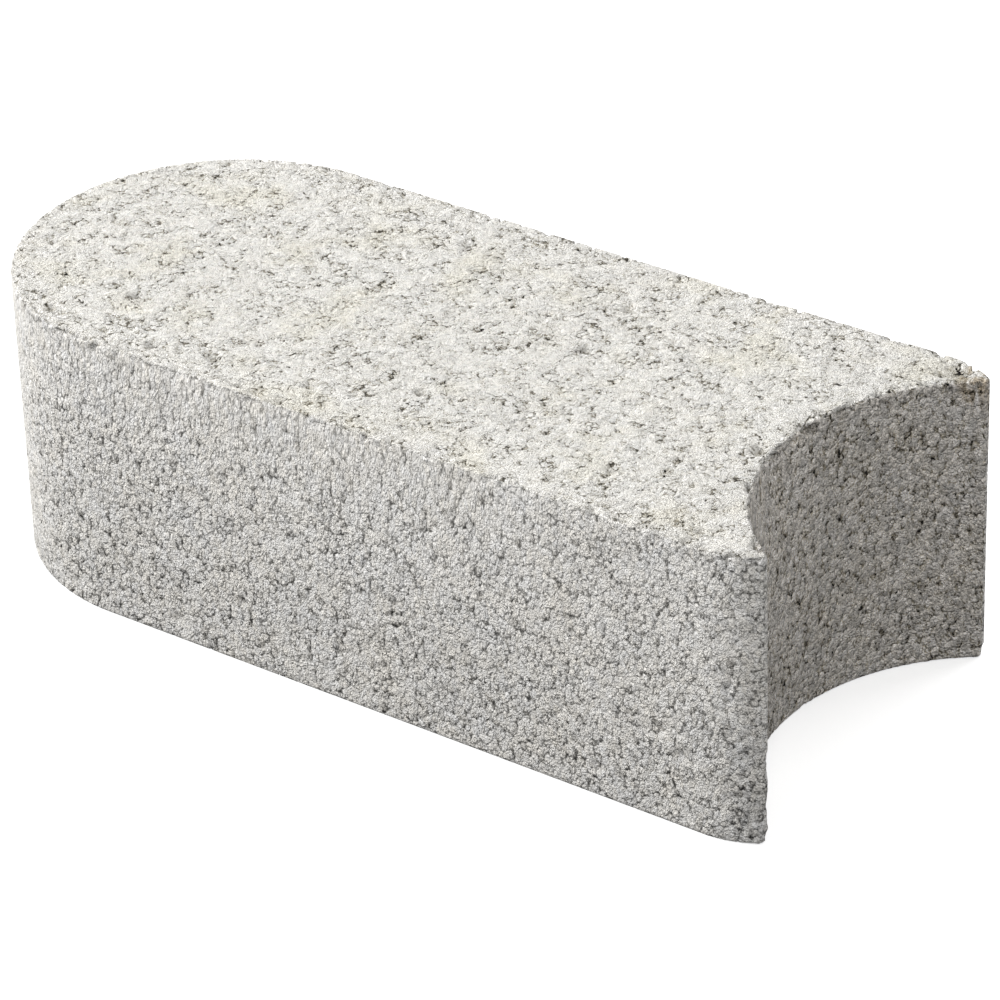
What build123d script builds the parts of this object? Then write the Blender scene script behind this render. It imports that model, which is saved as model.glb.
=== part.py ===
"""Concrete edging paver: one dry-cast block, half-round at one end and hollowed to match at the other.

The nose of each block stands in the hollow of the next, so a row of them can turn through a curve.
X runs along the block, with the nose at -X and the hollow at +X. Y runs across it, and Z is up.
The origin is on the bed, under the middle of the block. All sizes are in millimetres.
"""

import os
from math import acos, asin, degrees, sqrt

from build123d import *

# Overall sizes of the block.
LENGTH = 230.0  # from the nose to the wing tips
WIDTH = 100.0  # across the two straight sides
HEIGHT = 72.5  # from the bed to the top

# The hollow end. Its radius is that of a nose with a joint round it.
JOINT = 4.0  # gap round a nose that stands in the hollow
WING_SIDE_RADIUS = 24.0  # each straight side curves in to its wing tip with this radius
WING_TIP_RADIUS = 1.5  # rounded tip, between that curve and the hollow
WING_TIP_INSET = 5.1  # from the straight side in to the middle of the rounded tip

# Rounded edges, as the mould leaves them.
TOP_ARRIS_RADIUS = 1.2  # round the whole top face
BED_ARRIS_RADIUS = 1.0  # round the whole bed
LARGEST_ARRIS_SHARE = 0.9  # an arris turns the tip with no more than this share of the tip's radius

# Places that follow from those sizes. Each wing tip is a small circle that touches both the large circle
# of the wing's outer side and that of the hollow.
NOSE_RADIUS = WIDTH / 2
NOSE_CENTRE_X = NOSE_RADIUS - LENGTH / 2
TIP_CENTRE_X = LENGTH / 2 - WING_TIP_RADIUS
TIP_CENTRE_Y = WIDTH / 2 - WING_TIP_INSET
SIDE_TO_TIP = WING_SIDE_RADIUS - WING_TIP_RADIUS  # between the centres of those two circles
SIDE_CENTRE_Y = WIDTH / 2 - WING_SIDE_RADIUS
SIDE_CENTRE_X = TIP_CENTRE_X - sqrt(SIDE_TO_TIP**2 - (TIP_CENTRE_Y - SIDE_CENTRE_Y) ** 2)
HOLLOW_RADIUS = NOSE_RADIUS + JOINT
HOLLOW_TO_TIP = HOLLOW_RADIUS + WING_TIP_RADIUS
HOLLOW_CENTRE_X = TIP_CENTRE_X + sqrt(HOLLOW_TO_TIP**2 - TIP_CENTRE_Y**2)


def far_half_outline():
    """The outline on the +Y side of the centre line, from the tip of the nose to the back of the hollow."""
    side_turn = degrees(acos((TIP_CENTRE_Y - SIDE_CENTRE_Y) / SIDE_TO_TIP))
    hollow_turn = degrees(asin(TIP_CENTRE_Y / HOLLOW_TO_TIP))
    nose = CenterArc((NOSE_CENTRE_X, 0), NOSE_RADIUS, 90, 90)
    side = Line((NOSE_CENTRE_X, WIDTH / 2), (SIDE_CENTRE_X, WIDTH / 2))
    wing_side = CenterArc((SIDE_CENTRE_X, SIDE_CENTRE_Y), WING_SIDE_RADIUS, 90, -side_turn)
    tip_turn = 90 - side_turn + hollow_turn
    tip = CenterArc((TIP_CENTRE_X, TIP_CENTRE_Y), WING_TIP_RADIUS, 90 - side_turn, -tip_turn)
    hollow = CenterArc((HOLLOW_CENTRE_X, 0), HOLLOW_RADIUS, 180 - hollow_turn, hollow_turn)
    return Curve() + [nose, side, wing_side, tip, hollow]


def paving_block():
    """The outline raised to its height, with the top and bed edges rounded."""
    far_half = far_half_outline()
    plan = make_face(far_half + mirror(far_half, about=Plane.XZ))
    block = extrude(plan, HEIGHT)
    largest_arris = LARGEST_ARRIS_SHARE * WING_TIP_RADIUS
    top_edges = block.faces().sort_by(Axis.Z)[-1].edges()
    block = fillet(top_edges, min(TOP_ARRIS_RADIUS, largest_arris))
    bed_edges = block.faces().sort_by(Axis.Z)[0].edges()
    return fillet(bed_edges, min(BED_ARRIS_RADIUS, largest_arris))


os.makedirs("parts", exist_ok=True)
block = paving_block()
block.label = "paving_block"
export_step(block, "parts/paving_block.step")
print("hollow depth, mm:", round(HOLLOW_RADIUS - (HOLLOW_CENTRE_X - LENGTH / 2), 2))
print("volume, cm3:", round(block.volume / 1000, 1))
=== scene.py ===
from math import acos, asin, cos, pi, radians, sin

import bmesh
import bpy
from mathutils import Matrix, Vector


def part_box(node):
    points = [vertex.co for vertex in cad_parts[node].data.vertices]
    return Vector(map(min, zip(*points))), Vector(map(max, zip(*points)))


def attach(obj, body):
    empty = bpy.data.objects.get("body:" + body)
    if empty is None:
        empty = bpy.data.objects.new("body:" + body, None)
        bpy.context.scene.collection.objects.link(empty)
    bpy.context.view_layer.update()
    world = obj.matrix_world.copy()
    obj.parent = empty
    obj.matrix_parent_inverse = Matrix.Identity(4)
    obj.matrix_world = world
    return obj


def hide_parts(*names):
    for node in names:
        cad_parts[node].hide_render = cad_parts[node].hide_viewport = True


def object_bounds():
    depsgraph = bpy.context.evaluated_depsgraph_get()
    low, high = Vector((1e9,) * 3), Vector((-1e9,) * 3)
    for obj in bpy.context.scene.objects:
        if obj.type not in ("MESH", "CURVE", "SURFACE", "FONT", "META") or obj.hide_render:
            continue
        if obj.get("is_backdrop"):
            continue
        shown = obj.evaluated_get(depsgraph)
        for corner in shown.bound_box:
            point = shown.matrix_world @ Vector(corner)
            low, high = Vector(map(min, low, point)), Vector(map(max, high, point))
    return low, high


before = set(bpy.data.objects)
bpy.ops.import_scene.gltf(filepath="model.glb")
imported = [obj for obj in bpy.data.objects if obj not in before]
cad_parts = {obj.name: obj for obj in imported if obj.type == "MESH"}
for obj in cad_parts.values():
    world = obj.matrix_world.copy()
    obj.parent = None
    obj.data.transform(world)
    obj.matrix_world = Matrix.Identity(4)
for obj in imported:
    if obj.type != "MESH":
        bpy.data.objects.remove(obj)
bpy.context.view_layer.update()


# The paving block's plain form.
# One block of dry-cast concrete, rammed into a steel mould: a half-round nose, two straight sides, and
# a hollow between two wings where the nose of the next block stands. Its sizes are those of the frame.
low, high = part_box("paving_block")
half_width = high.y
top_z = high.z
joint = 0.004  # gap round a nose that stands in the hollow
wing_side_radius = 0.024
wing_tip_radius = 0.0015
wing_tip_inset = 0.0051  # from the straight side in to the middle of the rounded tip
top_arris = 0.0008
bed_arris = 0.0004
nose_steps = 72
hollow_steps = 48
wing_steps = 8
arris_steps = 3
same_height = 1e-6

# The nose is a half circle. Each wing tip is a small circle that touches both the large circle of the
# wing's outer side and that of the hollow.
nose_x = low.x + half_width
tip_x = high.x - wing_tip_radius
tip_y = half_width - wing_tip_inset
side_y = half_width - wing_side_radius
side_to_tip = wing_side_radius - wing_tip_radius
side_turn = acos((tip_y - side_y) / side_to_tip)
side_x = tip_x - side_to_tip * sin(side_turn)
hollow_radius = half_width + joint
hollow_to_tip = hollow_radius + wing_tip_radius
hollow_turn = asin(tip_y / hollow_to_tip)
hollow_x = tip_x + hollow_to_tip * cos(hollow_turn)
tip_turn = pi / 2 - side_turn + hollow_turn

form = bmesh.new()


def arc(start, centre_x, centre_y, angle, steps):
    """Spins a corner of the plan round an upright axis, and returns the corner where it ends."""
    centre = (centre_x, centre_y, 0)
    spun = bmesh.ops.spin(form, geom=[start], cent=centre, axis=(0, 0, 1), angle=angle, steps=steps)
    return next(v for v in spun["geom_last"] if isinstance(v, bmesh.types.BMVert))


near_shoulder = form.verts.new((nose_x, -half_width, 0))
far_shoulder = arc(near_shoulder, nose_x, 0, -pi, nose_steps)
far_bend = form.verts.new((side_x, half_width, 0))
far_tip = arc(far_bend, side_x, side_y, -side_turn, wing_steps)
far_lip = arc(far_tip, tip_x, tip_y, -tip_turn, wing_steps)
near_lip = arc(far_lip, hollow_x, 0, 2 * hollow_turn, hollow_steps)
near_tip = arc(near_lip, tip_x, -tip_y, -tip_turn, wing_steps)
near_bend = arc(near_tip, side_x, -side_y, -side_turn, wing_steps)
form.edges.new((far_shoulder, far_bend))
form.edges.new((near_bend, near_shoulder))
bmesh.ops.contextual_create(form, geom=form.edges[:])
raised = bmesh.ops.extrude_face_region(form, geom=form.faces[:])
raised_corners = [v for v in raised["geom"] if isinstance(v, bmesh.types.BMVert)]
bmesh.ops.translate(form, verts=raised_corners, vec=(0, 0, top_z))
for rim_z, arris in ((top_z, top_arris), (0, bed_arris)):
    rim = [e for e in form.edges if all(abs(v.co.z - rim_z) < same_height for v in e.verts)]
    bmesh.ops.bevel(
        form, geom=rim, offset=arris, offset_type="OFFSET", segments=arris_steps,
        profile=0.5, affect="EDGES", material=-1, clamp_overlap=True,
    )
bmesh.ops.recalc_face_normals(form, faces=form.faces[:])
form_mesh = bpy.data.meshes.new("paving_block_visual")
form.to_mesh(form_mesh)
form.free()
block = bpy.data.objects.new("paving_block_visual", form_mesh)
bpy.context.scene.collection.objects.link(block)


# The cast surface.
# The struck top is open and crumbly, the walls show the sand grains that the mould pressed flat, and
# the bed is plain. The form is remade with even faces, and these are pushed in along their normals.
mm = 0.001


class Field:
    """One output of a node, in a geometry or a shader tree. Arithmetic on it adds Math nodes."""

    def __init__(self, tree, socket):
        self.tree = tree
        self.socket = socket

    def node(self, kind, settings=None, inputs=None, output=0):
        """Adds a node to the same tree: its settings first, then the values or links of its sockets."""
        made = self.tree.nodes.new(kind)
        for name, value in (settings or {}).items():
            setattr(made, name, value)
        for name, value in (inputs or {}).items():
            if isinstance(value, Field):
                self.tree.links.new(value.socket, made.inputs[name])
            else:
                made.inputs[name].default_value = value
        return Field(self.tree, made.outputs[output]) if made.outputs else None

    def other(self, output):
        """Another output of the node that this one comes from."""
        return Field(self.tree, self.socket.node.outputs[output])

    def math(self, operation, *values):
        return self.node("ShaderNodeMath", {"operation": operation}, dict(enumerate(values)))

    def vector(self, operation, *values, output=0):
        return self.node("ShaderNodeVectorMath", {"operation": operation}, dict(enumerate(values)), output)

    def __add__(self, other):
        return self.math("ADD", self, other)

    def __sub__(self, other):
        return self.math("SUBTRACT", self, other)

    def __rsub__(self, other):
        return self.math("SUBTRACT", other, self)

    def __mul__(self, other):
        return self.math("MULTIPLY", self, other)

    def __pow__(self, other):
        return self.math("POWER", self, other)

    __radd__ = __add__
    __rmul__ = __mul__

    def absolute(self):
        return self.math("ABSOLUTE", self)

    def at_least(self, other):
        return self.math("MAXIMUM", self, other)

    def at_most(self, other):
        return self.math("MINIMUM", self, other)

    def softly_at_most(self, limit, softness):
        return self.math("SMOOTH_MIN", self, limit, softness)

    def rise(self, start, end):
        """0 at start and 1 at end, level beyond them, with a smooth rise between."""
        return self.node(
            "ShaderNodeMapRange", {"interpolation_type": "SMOOTHSTEP"},
            {"Value": self, "From Min": start, "From Max": end},
        )

    def axis(self, number):
        return self.node("ShaderNodeSeparateXYZ", inputs={"Vector": self}, output=number)

    def plus(self, other):
        """The sum of two vectors."""
        return self.vector("ADD", self, other)

    def times(self, other):
        """The same vector or colour, each part multiplied by the same part of another."""
        return self.vector("MULTIPLY", self, other)

    def scaled(self, factor):
        """The same vector or colour, every part multiplied by one factor."""
        return self.node("ShaderNodeVectorMath", {"operation": "SCALE"}, {0: self, "Scale": factor})

    def centred(self):
        """A random colour as a vector round zero, up to a half each way."""
        return self.vector("SUBTRACT", self, (0.5, 0.5, 0.5))

    def near(self, centre, reach):
        """1 at this place in metres, falling smoothly to 0 at this reach."""
        return self.vector("DISTANCE", self, centre, output="Value").rise(reach, 0.0)

    def noise(self, size, detail=2.0, roughness=0.5, output=0):
        """Cloudy noise from about 0 to 1, with clouds of this size in metres."""
        return self.node(
            "ShaderNodeTexNoise", output=output,
            inputs={"Vector": self, "Scale": 1 / size, "Detail": detail, "Roughness": roughness},
        )

    def warped(self, size, amount):
        """The same point pushed about by noise, so that grains lose their straight rims."""
        return self.plus(self.noise(size, 1.0, output="Color").centred().scaled(amount))

    def cells(self, size):
        """Crowded grains of this size: how far a point is from its grain's middle, in grains."""
        return self.node("ShaderNodeTexVoronoi", {"feature": "F1"}, {"Vector": self, "Scale": 1 / size})

    def heaped(self, tall, uneven):
        """Height of crowded grains: this tall in the middle, and raised or sunk by up to half of uneven."""
        middle_rise = 0.35  # share of a grain's height that stands above the mean
        return (middle_rise - self * self) * tall + (self.other("Color").axis(0) - 0.5) * uneven

    def facets(self, size):
        """A height in millimetres where every grain of this size has a flat face of its own slope."""
        grains = self.cells(size)
        away = self.vector("SUBTRACT", self, grains.other("Position"))
        lean = grains.other("Color").centred()
        return self.vector("DOT_PRODUCT", away, lean, output="Value") * (1 / mm)


def source(tree, kind, output=0):
    """An output of a new node that needs no input, where a chain of fields starts."""
    return Field(tree, tree.nodes.new(kind).outputs[output])


def hollow_gap(point):
    """How far a point is from the hollow's wall."""
    x = point.axis(0) - hollow_x
    y = point.axis(1)
    return (x * x + y * y) ** 0.5 - hollow_radius


def wall_distance(point):
    """How far inside the nearest upright wall a point lies."""
    x = point.axis(0)
    y = point.axis(1).absolute()
    past_nose = (x - nose_x).at_most(0.0)
    from_spine = (past_nose * past_nose + y * y) ** 0.5
    past_bend = (x - side_x).at_least(0.0)
    past_side = (y - side_y).at_least(0.0)
    from_side = (past_bend * past_bend + past_side * past_side) ** 0.5
    outer = (half_width - from_spine).at_most(wing_side_radius - from_side)
    return outer.at_most(hollow_gap(point)).at_most(high.x - x)


surface = bpy.data.node_groups.new("cast_surface", "GeometryNodeTree")
surface.interface.new_socket("Block", in_out="INPUT", socket_type="NodeSocketGeometry")
surface.interface.new_socket("Block", in_out="OUTPUT", socket_type="NodeSocketGeometry")
place = source(surface, "GeometryNodeInputPosition")
outward = source(surface, "GeometryNodeInputNormal")

# Which face a point is on, and how close to an edge.
face_blend = 0.5 * mm
hollow_blend = 0.3 * mm
top_edge_reach = 4 * mm
bed_edge_reach = 3 * mm
hollow_rim_reach = 3.5 * mm
wall = wall_distance(place)
from_hollow = hollow_gap(place)
above_bed = place.axis(2)
below_top = top_z - above_bed
on_top = (wall - below_top).rise(-face_blend, face_blend)
on_bed = (wall - above_bed).rise(-face_blend, face_blend)
on_hollow = (from_hollow - wall).rise(hollow_blend, 0.0) * (1 - on_top)
top_edge = wall.at_least(below_top).rise(top_edge_reach, 0.0)
bed_edge = wall.at_least(above_bed).rise(bed_edge_reach, 0.0)
hollow_rim = from_hollow.rise(hollow_rim_reach, 0.0) * top_edge

# Crumbs of the struck top: each has a level and a slope of its own, and pits lie open between some.
# Smooth plates of cement stand a little higher. Depths are in millimetres, here and below.
crumb_size = 5 * mm
small_crumb_size = 2.4 * mm
crumb_slope = 0.10
crumb_step = 0.26
crumb_rounding = 0.40
plate_size = 6 * mm
plate_step = 0.40
open_pit_depth = 0.8
struck_level = 0.12
loose = place.warped(size=3 * mm, amount=1.5 * mm)
crumb_faces = loose.facets(crumb_size)
small_crumb = loose.cells(small_crumb_size)
crumb_gaps = small_crumb * small_crumb
crumb_levels = small_crumb.other("Color").axis(1)
crumbs = crumb_faces * crumb_slope + crumb_levels * crumb_step - crumb_gaps * crumb_rounding
plate = place.noise(plate_size, detail=3.0, roughness=0.65)
between_plates = plate.rise(0.54, 0.46)
open_pits = place.noise(3 * mm).rise(0.62, 0.74)
top_depth = between_plates * plate_step - crumbs - struck_level + open_pits * open_pit_depth
top_depth = top_depth.at_least(0.0)

# Grains and pits of the moulded walls. They get shallower towards the top of the outer walls, and stay
# as deep all the way up the hollow.
wall_crumb_slope = 0.09
wall_crumb_rounding = 0.34
wall_pit_depth = 0.6
full_relief_z = 0.040
least_relief_z = 0.075
least_relief = 0.3
wall_crumbs = crumb_faces * wall_crumb_slope - crumb_gaps * wall_crumb_rounding
wall_pits = place.noise(2.8 * mm).rise(0.62, 0.76)
relief_share = above_bed.rise(least_relief_z, full_relief_z) * (1 - least_relief) + least_relief
wall_depth = (wall_pits * wall_pit_depth - wall_crumbs) * relief_share.at_least(on_hollow)

# Bare spots, where the finest grains are missing: the face of a stone in about a third of these cells of
# the outer walls, and patches in the hollow.
stone_size = 6 * mm
hollow_patch_strength = 0.6
stone_cell = place.warped(size=2 * mm, amount=1 * mm).cells(stone_size)
stone = stone_cell.rise(0.42, 0.28) * stone_cell.other("Color").axis(0).rise(0.62, 0.66)
patch = place.noise(2.5 * mm, roughness=0.6).rise(0.52, 0.64)
bare = stone * (1 - on_top) * (1 - on_hollow) + patch * on_hollow * hollow_patch_strength

# Pits that stand out: where each is on the top or the near side, its reach and its depth. These lengths
# are all in millimetres.
struck = round(top_z / mm, 3)
side = -round(half_width / mm, 3)
pits = [
    ((31.6, 8.2, struck), 2.6, 2.2),
    ((-36.3, -40.0, struck), 2.8, 2.0),
    ((-83.0, -41.4, struck), 2.4, 1.8),
    ((-70.1, -26.8, struck), 2.4, 1.8),
    ((-20.2, 35.1, struck), 2.2, 1.6),
    ((28.8, 29.3, struck), 2.4, 1.6),
    ((-51.7, -42.8, struck), 2.6, 1.8),
    ((-44.7, -42.1, struck), 2.0, 1.6),
    ((-9.9, -38.2, struck), 3.2, 1.4),
    ((-23.7, -47.2, struck), 2.4, 1.8),
    ((89.5, -8.2, struck), 3.4, 1.8),
    ((35.5, -20.7, struck), 2.6, 1.2),
    ((0.7, -36.3, struck), 2.0, 1.3),
    ((66.5, -31.9, struck), 3.0, 1.0),
    ((12.0, -27.9, struck), 2.0, 1.2),
    ((-44.2, side, 5.7), 2.8, 1.2),
    ((95.9, -49.4, 18.5), 2.6, 1.2),
    ((-24.3, side, 16.8), 2.0, 1.0),
    ((90.8, side, 23.1), 2.2, 1.0),
    ((74.2, side, 7.7), 2.6, 1.0),
]
pitted = 0.0
for centre, reach, deep in pits:
    pitted = loose.near([v * mm for v in centre], reach * mm) * deep + pitted

# Ragged edges: short nicks and wider bays in the top edge, more nicks along the hollow's rim, and nicks
# in the bed's edge. Between its nicks, each edge is lifted by its sound level, so that it stays whole.
top_nick_depth = 1.9
top_bay_depth = 0.6
top_sound_level = 0.75
rim_nick_depth = 1.4
rim_sound_level = 0.25
bed_nick_depth = 1.1
bed_sound_level = 0.60
top_nicks = place.noise(2.4 * mm).rise(0.48, 0.66) * top_nick_depth
top_bays = place.noise(9 * mm, detail=1.0).rise(0.54, 0.72) * top_bay_depth
top_ragged = top_nicks + top_bays - top_sound_level
rim_nicks = place.noise(3.6 * mm, detail=3.0, roughness=0.7).rise(0.44, 0.62) * rim_nick_depth
rim_ragged = rim_nicks - rim_sound_level
bed_ragged = place.noise(2.6 * mm).rise(0.48, 0.70) * bed_nick_depth - bed_sound_level
worn = top_ragged * (top_edge + hollow_rim) + pitted + rim_ragged * hollow_rim + bed_ragged * bed_edge

# Worn places: where each is, how far it reaches, and how deep it goes, in millimetres.
worn_places = [
    ((106.0, 45.0, struck), 8.0, 1.5),
    ((100.0, -49.0, struck), 13.0, 0.5),
    ((113.0, -44.0, struck), 6.0, 0.8),
    ((115.0, 46.0, 0.0), 4.0, 1.4),
    ((115.0, -44.0, 0.0), 4.0, 1.4),
    ((115.0, -44.0, 9.0), 7.0, 0.4),
    ((115.0, -44.0, 20.0), 8.0, 0.4),
    ((-85.0, -46.0, struck), 14.0, 0.5),
    ((-60.0, side, struck), 14.0, 0.5),
]
crumbling = place.noise(3 * mm)
for centre, reach, deep in worn_places:
    dent = place.near([v * mm for v in centre], reach * mm)
    worn = worn + dent * (crumbling * deep + deep * 0.5)

# Every face goes in by a little at least, which keeps the relief inside the plain form.
cast_level = 0.06
least_depth = 0.07
depth = top_depth * on_top + wall_depth * (1 - on_top) * (1 - on_bed) + worn - cast_level
depth = depth.at_least(least_depth)

# The shader needs to know the face and the depth, so both are stored before the faces move; the depth
# gives the painted shade in the deepest pits. So are the plates and bare spots, a slow change of tone,
# the cream areas of the top, and the brown stain on the worn corner of the far wing.
stained_corner = (0.112, 0.045, 0.071)
stain_reach = 9 * mm
stain = loose.near(stained_corner, stain_reach).rise(0.15, 0.55) * place.noise(1.6 * mm).rise(0.40, 0.58)
kept = {
    "top_face": on_top,
    "hollow_face": on_hollow,
    "recess": depth,
    "plate": plate,
    "bare": bare,
    "tone": place.noise(9 * mm),
    "cream": place.noise(18 * mm).rise(0.50, 0.72) * on_top,
    "stain": stain,
}
shape = source(surface, "NodeGroupInput")
for name, field in kept.items():
    shape = shape.node(
        "GeometryNodeStoreNamedAttribute", {"data_type": "FLOAT", "domain": "POINT"},
        {"Geometry": shape, "Name": name, "Value": field},
    )
inward = outward.scaled(depth * -mm)
shape = shape.node("GeometryNodeSetPosition", inputs={"Geometry": shape, "Offset": inward})
shape.node("NodeGroupOutput", inputs={"Block": shape})

triangles = 198000
even = block.modifiers.new("even_faces", "REMESH")
even.mode = "VOXEL"
even.voxel_size = 0.55 * mm
relief = block.modifiers.new("cast_surface", "NODES")
relief.node_group = surface


def shaped():
    """The block's mesh with its modifiers in it."""
    return bpy.data.meshes.new_from_object(block.evaluated_get(bpy.context.evaluated_depsgraph_get()))


# The even faces have four corners, so each makes two triangles.
thinned = block.modifiers.new("thinned", "DECIMATE")
thinned.ratio = triangles / (2 * len(shaped().polygons))
finished = shaped()
finished.shade_smooth()
block.modifiers.clear()
block.data = finished
block.data.name = "paving_block_visual"


# The concrete.
# Grey cement and pale sand, left as the mould and the strike-off leave them. Grains too fine for the
# mesh are bump here. The low spots between the grains and the deepest pits are darkened as painted
# shade, which the top tints a little olive. The hollow's paler colour is painted light.
concrete = bpy.data.materials.new("dry_cast_concrete")
concrete.use_nodes = True
concrete.node_tree.nodes.clear()
point = source(concrete.node_tree, "ShaderNodeTexCoord", "Object")
along = point.axis(0)
across = point.axis(1)
height = point.axis(2)


def stored(name):
    """A value that the cast surface left on the mesh."""
    return point.node("ShaderNodeAttribute", {"attribute_name": name}, output="Fac")


top_face = stored("top_face")
hollow_face = stored("hollow_face")
wall_face = (1 - top_face) * (1 - hollow_face)


def by_face(walls=0.0, top=0.0, hollow=0.0):
    """A strength that differs between the outer walls, the top and the hollow."""
    return wall_face * walls + top_face * top + hollow_face * hollow


# The mould drew the walls upwards, the upper part most: heights are squeezed, so grains stand upright.
# It drew the nose, both sides as far as the wings, and the near part of the hollow, and left the tip of
# the nose calmer than the sides.
drag_start = 0.040
drag_strength = 5.0
upright = 0.24
nose_calm = 0.6
streak_stretch = (1.0, 1.0, 0.3)
drag = (along.rise(0.080, 0.035) + hollow_face * across.rise(0.005, -0.020)).at_most(1.0)
over = (height - drag_start).at_least(0.0)
squeeze = over * over * -drag_strength * drag - height * upright
drawn = point.plus(point.node("ShaderNodeCombineXYZ", inputs={"Z": squeeze}))
upper = height.rise(0.046, 0.070) * (1 - top_face) * drag * (1 - hollow_face * 0.5)
lower = height.rise(0.048, 0.012) * wall_face
calm = along.rise(-0.075, -0.102) * wall_face * nose_calm
streaks = drawn.times(streak_stretch).noise(0.6 * mm, detail=1.0, roughness=0.6) - 0.5

# Grains of two sizes with sand on them. The top has smooth plates with cracks round them, and larger
# lumps between. The outer walls and the hollow have bare spots.
grain_size = 1.2 * mm
small_grain_size = 0.6 * mm
sand_size = 0.38 * mm
lump_size = 2.8 * mm
plate_level = 0.475
crack_reach = 0.012
soft = drawn.warped(size=0.9 * mm, amount=0.5 * mm)
grains = soft.cells(grain_size)
grain_tint = grains.other("Color")
small_grains = soft.cells(small_grain_size)
small_tint = small_grains.other("Color")
sand = drawn.noise(sand_size, detail=1.0, roughness=0.6) - 0.5
pinholes = small_grains.rise(0.45, 0.20) * small_tint.axis(2).rise(0.84, 0.90)
plate_height = stored("plate")
on_plate = plate_height.rise(0.470, 0.495) * top_face
smooth = on_plate + stored("bare")
lumps = point.warped(size=2.0 * mm, amount=1.2 * mm).cells(lump_size).heaped(tall=1.5, uneven=0.9)
lumps = lumps * top_face * (1 - on_plate * 0.5)
plate_rim = (plate_height - plate_level).absolute().rise(crack_reach, 0.0)
crack = plate_rim * grain_tint.axis(0).rise(0.35, 0.65) * top_face

# Their height in millimetres. The mould's wall presses the grains of the outer walls flat at one level.
smooth_loss = 0.75
drawn_loss = 0.35
streak_height = 0.24
lump_height = 0.30
plate_top_height = 0.30
crack_depth = 0.45
pressed_level = 0.28
pressed_softness = 0.25
heap = grains.heaped(tall=0.80, uneven=0.70) + small_grains.heaped(tall=0.45, uneven=0.40)
heap = heap * (1 - smooth * smooth_loss) * (1 - upper * drawn_loss) * (1 - calm)
heap = heap + streaks * upper * streak_height + lumps * lump_height
heap = heap.softly_at_most(pressed_level, pressed_softness) * wall_face + heap * (1 - wall_face)
sand_height = 1.1 - by_face(walls=0.50)
pinhole_depth = 0.08 + by_face(top=0.22)
fine = (sand * sand_height - pinholes * pinhole_depth - crack * crack_depth) * (1 - calm)
bold = (1 + by_face(walls=0.62, top=0.5, hollow=1.0) + lower * 0.15) * (1 - upper * 0.10)
grain_height = (heap + fine + on_plate * plate_top_height) * bold

# Painted shade: how dark each low spot between grains and each deep pit is, with a little more over the
# upper and the lower walls, and how dark the brown stain makes its spot. Then how much the grains differ in
# tone.
upper_painted_shade = 0.05
lower_painted_shade = 0.03
stain_shade = 0.30
stained = stored("stain")
low_spot_shade = (heap + fine).rise(0.08, -0.70)
pit_shade = stored("recess").rise(0.6, 1.8)
painted_shade_and_stain = low_spot_shade * (by_face(walls=0.72, top=0.92, hollow=0.85) + lower * 0.10)
# A little painted shade over the whole upper and lower walls.
painted_shade_and_stain = painted_shade_and_stain + upper * upper_painted_shade + lower * lower_painted_shade
painted_shade_and_stain = painted_shade_and_stain + pit_shade * (0.45 - by_face(top=0.18, hollow=0.15)) + stained * stain_shade
grain_tones = 0.12 + by_face(hollow=0.26)
small_grain_tones = 0.26 + by_face(top=-0.08, hollow=0.22)
tones = (grain_tint.axis(1) - 0.5) * grain_tones + (small_tint.axis(1) - 0.5) * small_grain_tones

wall_colour = (0.79, 0.775, 0.747, 1)
top_colour = (0.80, 0.781, 0.738, 1)
# The hollow's colour is paler than the walls': painted light, making up for the little lamp light that
# reaches the hollow.
hollow_colour_with_painted_light = (0.90, 0.857, 0.804, 1)
cool_tint = (0.99, 1.0, 1.02)
warm_tint = (1.02, 0.99, 0.93)
cream_tint = (0.995, 0.985, 0.94)
olive_tint = (0.98, 0.90, 0.70)
stain_tint = (0.90, 0.82, 0.72)


def mixed(share, a, b):
    """Colour a where the share is 0, and colour b where it is 1."""
    return share.node("ShaderNodeMix", {"data_type": "RGBA"}, {"Factor": share, "A": a, "B": b}, "Result")


def tinted(colour, share, tint):
    """The colour, multiplied by a tint as far as the share says."""
    return mixed(share, colour, colour.times(tint))


warm = (grain_tint.axis(2) * 0.6 + stored("tone") * 1.2 - 0.4).at_least(0.0).at_most(1.0)
# An olive tint on the painted shade, most on the top and in the hollow.
olive = painted_shade_and_stain.rise(0.1, 0.6) * (0.1 + by_face(top=0.55, hollow=0.6))
pale = mixed(hollow_face, mixed(top_face, wall_colour, top_colour), hollow_colour_with_painted_light)
pale = mixed(warm * (0.8 - top_face * 0.35), pale.times(cool_tint), pale.times(warm_tint))
pale = tinted(pale, stored("cream"), cream_tint)
pale = tinted(pale, olive, olive_tint)
pale = tinted(pale, stained, stain_tint)
bump = point.node("ShaderNodeBump", inputs={"Height": grain_height, "Distance": 1.0 * mm, "Strength": 1.0})
skin = point.node("ShaderNodeBsdfPrincipled", inputs={
    "Base Color": pale.scaled(1 - painted_shade_and_stain + tones),
    "Normal": bump,
    "Roughness": 0.95,
    "Specular IOR Level": 0.2,
})
skin.node("ShaderNodeOutputMaterial", inputs={"Surface": skin})
block.data.materials.clear()
block.data.materials.append(concrete)
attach(block, "root")
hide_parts("paving_block")


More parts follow.
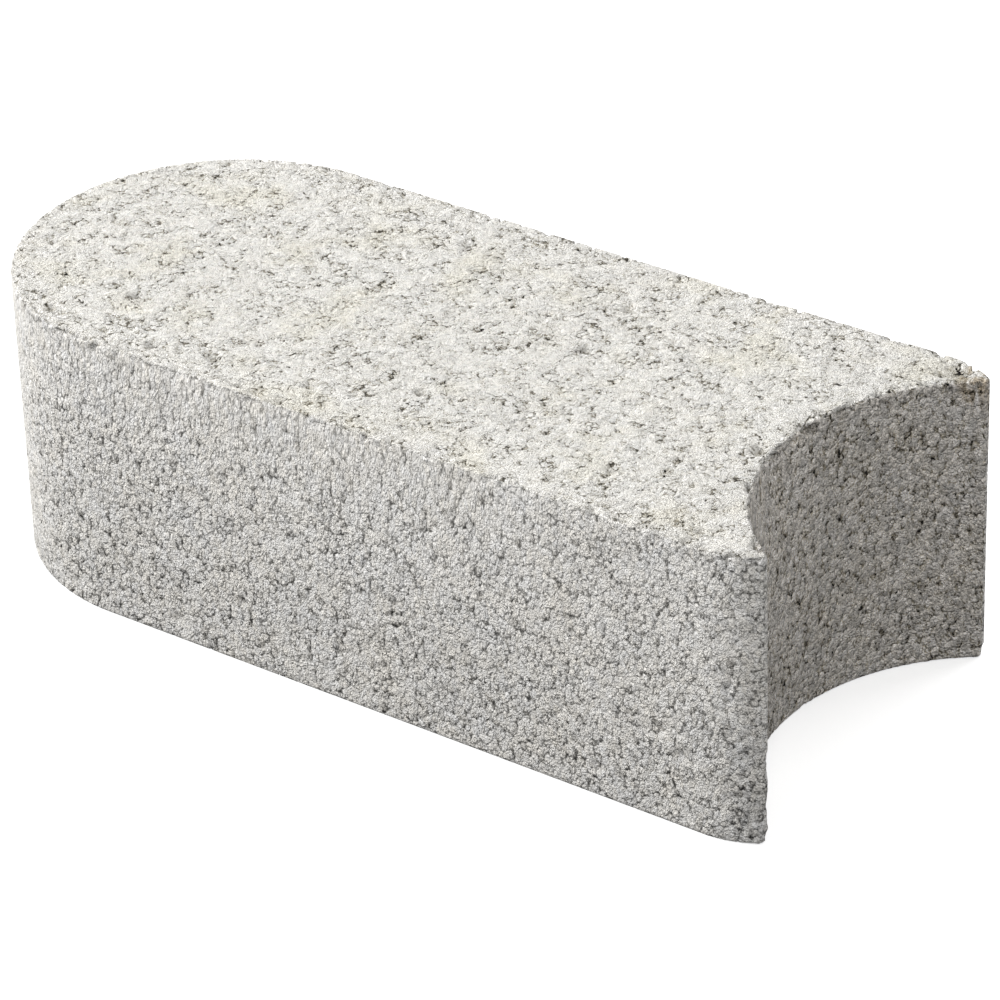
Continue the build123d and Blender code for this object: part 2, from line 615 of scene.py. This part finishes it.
# The floor.
# A wide sheet of paper. It glows a little for the camera, so that it looks white, and is darker for the
# light that it throws back on the block's walls.
floor_size = 6.0
seen_grey = (0.6, 0.6, 0.6, 1)
bounced_grey = (0.15, 0.15, 0.15, 1)
glow_strength = 0.55
floor_form = bmesh.new()
bmesh.ops.create_grid(floor_form, x_segments=1, y_segments=1, size=floor_size / 2)
floor_mesh = bpy.data.meshes.new("studio_floor")
floor_form.to_mesh(floor_mesh)
floor_form.free()
floor = bpy.data.objects.new("studio_floor", floor_mesh)
bpy.context.scene.collection.objects.link(floor)
paper = bpy.data.materials.new("white_paper")
paper.use_nodes = True
paper.node_tree.nodes.clear()
seen = source(paper.node_tree, "ShaderNodeLightPath", "Is Camera Ray")
matt = seen.node("ShaderNodeBsdfDiffuse", inputs={"Color": mixed(seen, bounced_grey, seen_grey)})
glow = seen.node("ShaderNodeEmission", inputs={"Color": (1, 1, 1, 1), "Strength": seen * glow_strength})
sheet = seen.node("ShaderNodeAddShader", inputs={0: matt, 1: glow})
sheet.node("ShaderNodeOutputMaterial", inputs={"Surface": sheet})
floor_mesh.materials.append(paper)
floor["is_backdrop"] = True


# The light.
# Four square softboxes stand round the block, all at one distance, in an evenly lit studio. The camera
# sees the studio as pure white.
middle = Vector((0, 0, top_z / 2))
lamp_distance = 1.6
lamp_size = 0.42
studio_light = 0.52


def softbox(name, turn, lift, power):
    """A lamp that faces the block, turned from its nose towards its near side and lifted, in degrees."""
    turn = radians(turn)
    lift = radians(lift)
    toward = Vector((-cos(turn) * cos(lift), -sin(turn) * cos(lift), sin(lift)))
    lamp = bpy.data.lights.new(name, "AREA")
    lamp.size = lamp_size
    lamp.energy = power
    holder = bpy.data.objects.new(name, lamp)
    holder.location = middle + toward * lamp_distance
    holder.rotation_euler = (-toward).to_track_quat("-Z", "Y").to_euler()
    bpy.context.scene.collection.objects.link(holder)


softbox("left_softbox", turn=-40, lift=52, power=18.5)
softbox("front_softbox", turn=33, lift=28, power=24.6)
softbox("back_softbox", turn=-114, lift=48, power=6.5)
softbox("right_softbox", turn=132, lift=40, power=8.0)

studio = bpy.data.worlds.new("studio")
bpy.context.scene.world = studio
studio.use_nodes = True
studio.node_tree.nodes.clear()
sky_seen = source(studio.node_tree, "ShaderNodeLightPath", "Is Camera Ray")
brightness = sky_seen * (1 - studio_light) + studio_light
sky = sky_seen.node("ShaderNodeBackground", inputs={"Color": (1, 1, 1, 1), "Strength": brightness})
sky.node("ShaderNodeOutputWorld", inputs={"Surface": sky})


# The camera.
# It stands where the outline and the inner edges of the block fall as they do in the photograph.
camera_place = (0.60412, -0.79206, 0.61421)
azimuth = radians(36.753)
elevation = radians(30.546)
roll = radians(-1.906)
camera_data = bpy.data.cameras.new("camera")
camera_data.sensor_width = 36
camera_data.lens = 180.24
camera_data.clip_start = 0.05
camera_data.clip_end = 20
camera = bpy.data.objects.new("camera", camera_data)
back = Vector((sin(azimuth) * cos(elevation), -cos(azimuth) * cos(elevation), sin(elevation)))
right = Vector((cos(azimuth), sin(azimuth), 0))
up = back.cross(right)
rolled_right = cos(roll) * right + sin(roll) * up
rolled_up = -sin(roll) * right + cos(roll) * up
facing = Matrix((rolled_right, rolled_up, back)).transposed().to_4x4()
camera.matrix_world = Matrix.Translation(camera_place) @ facing
bpy.context.scene.collection.objects.link(camera)
bpy.context.scene.camera = camera
bpy.context.scene.view_settings.view_transform = "Standard"

low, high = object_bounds()
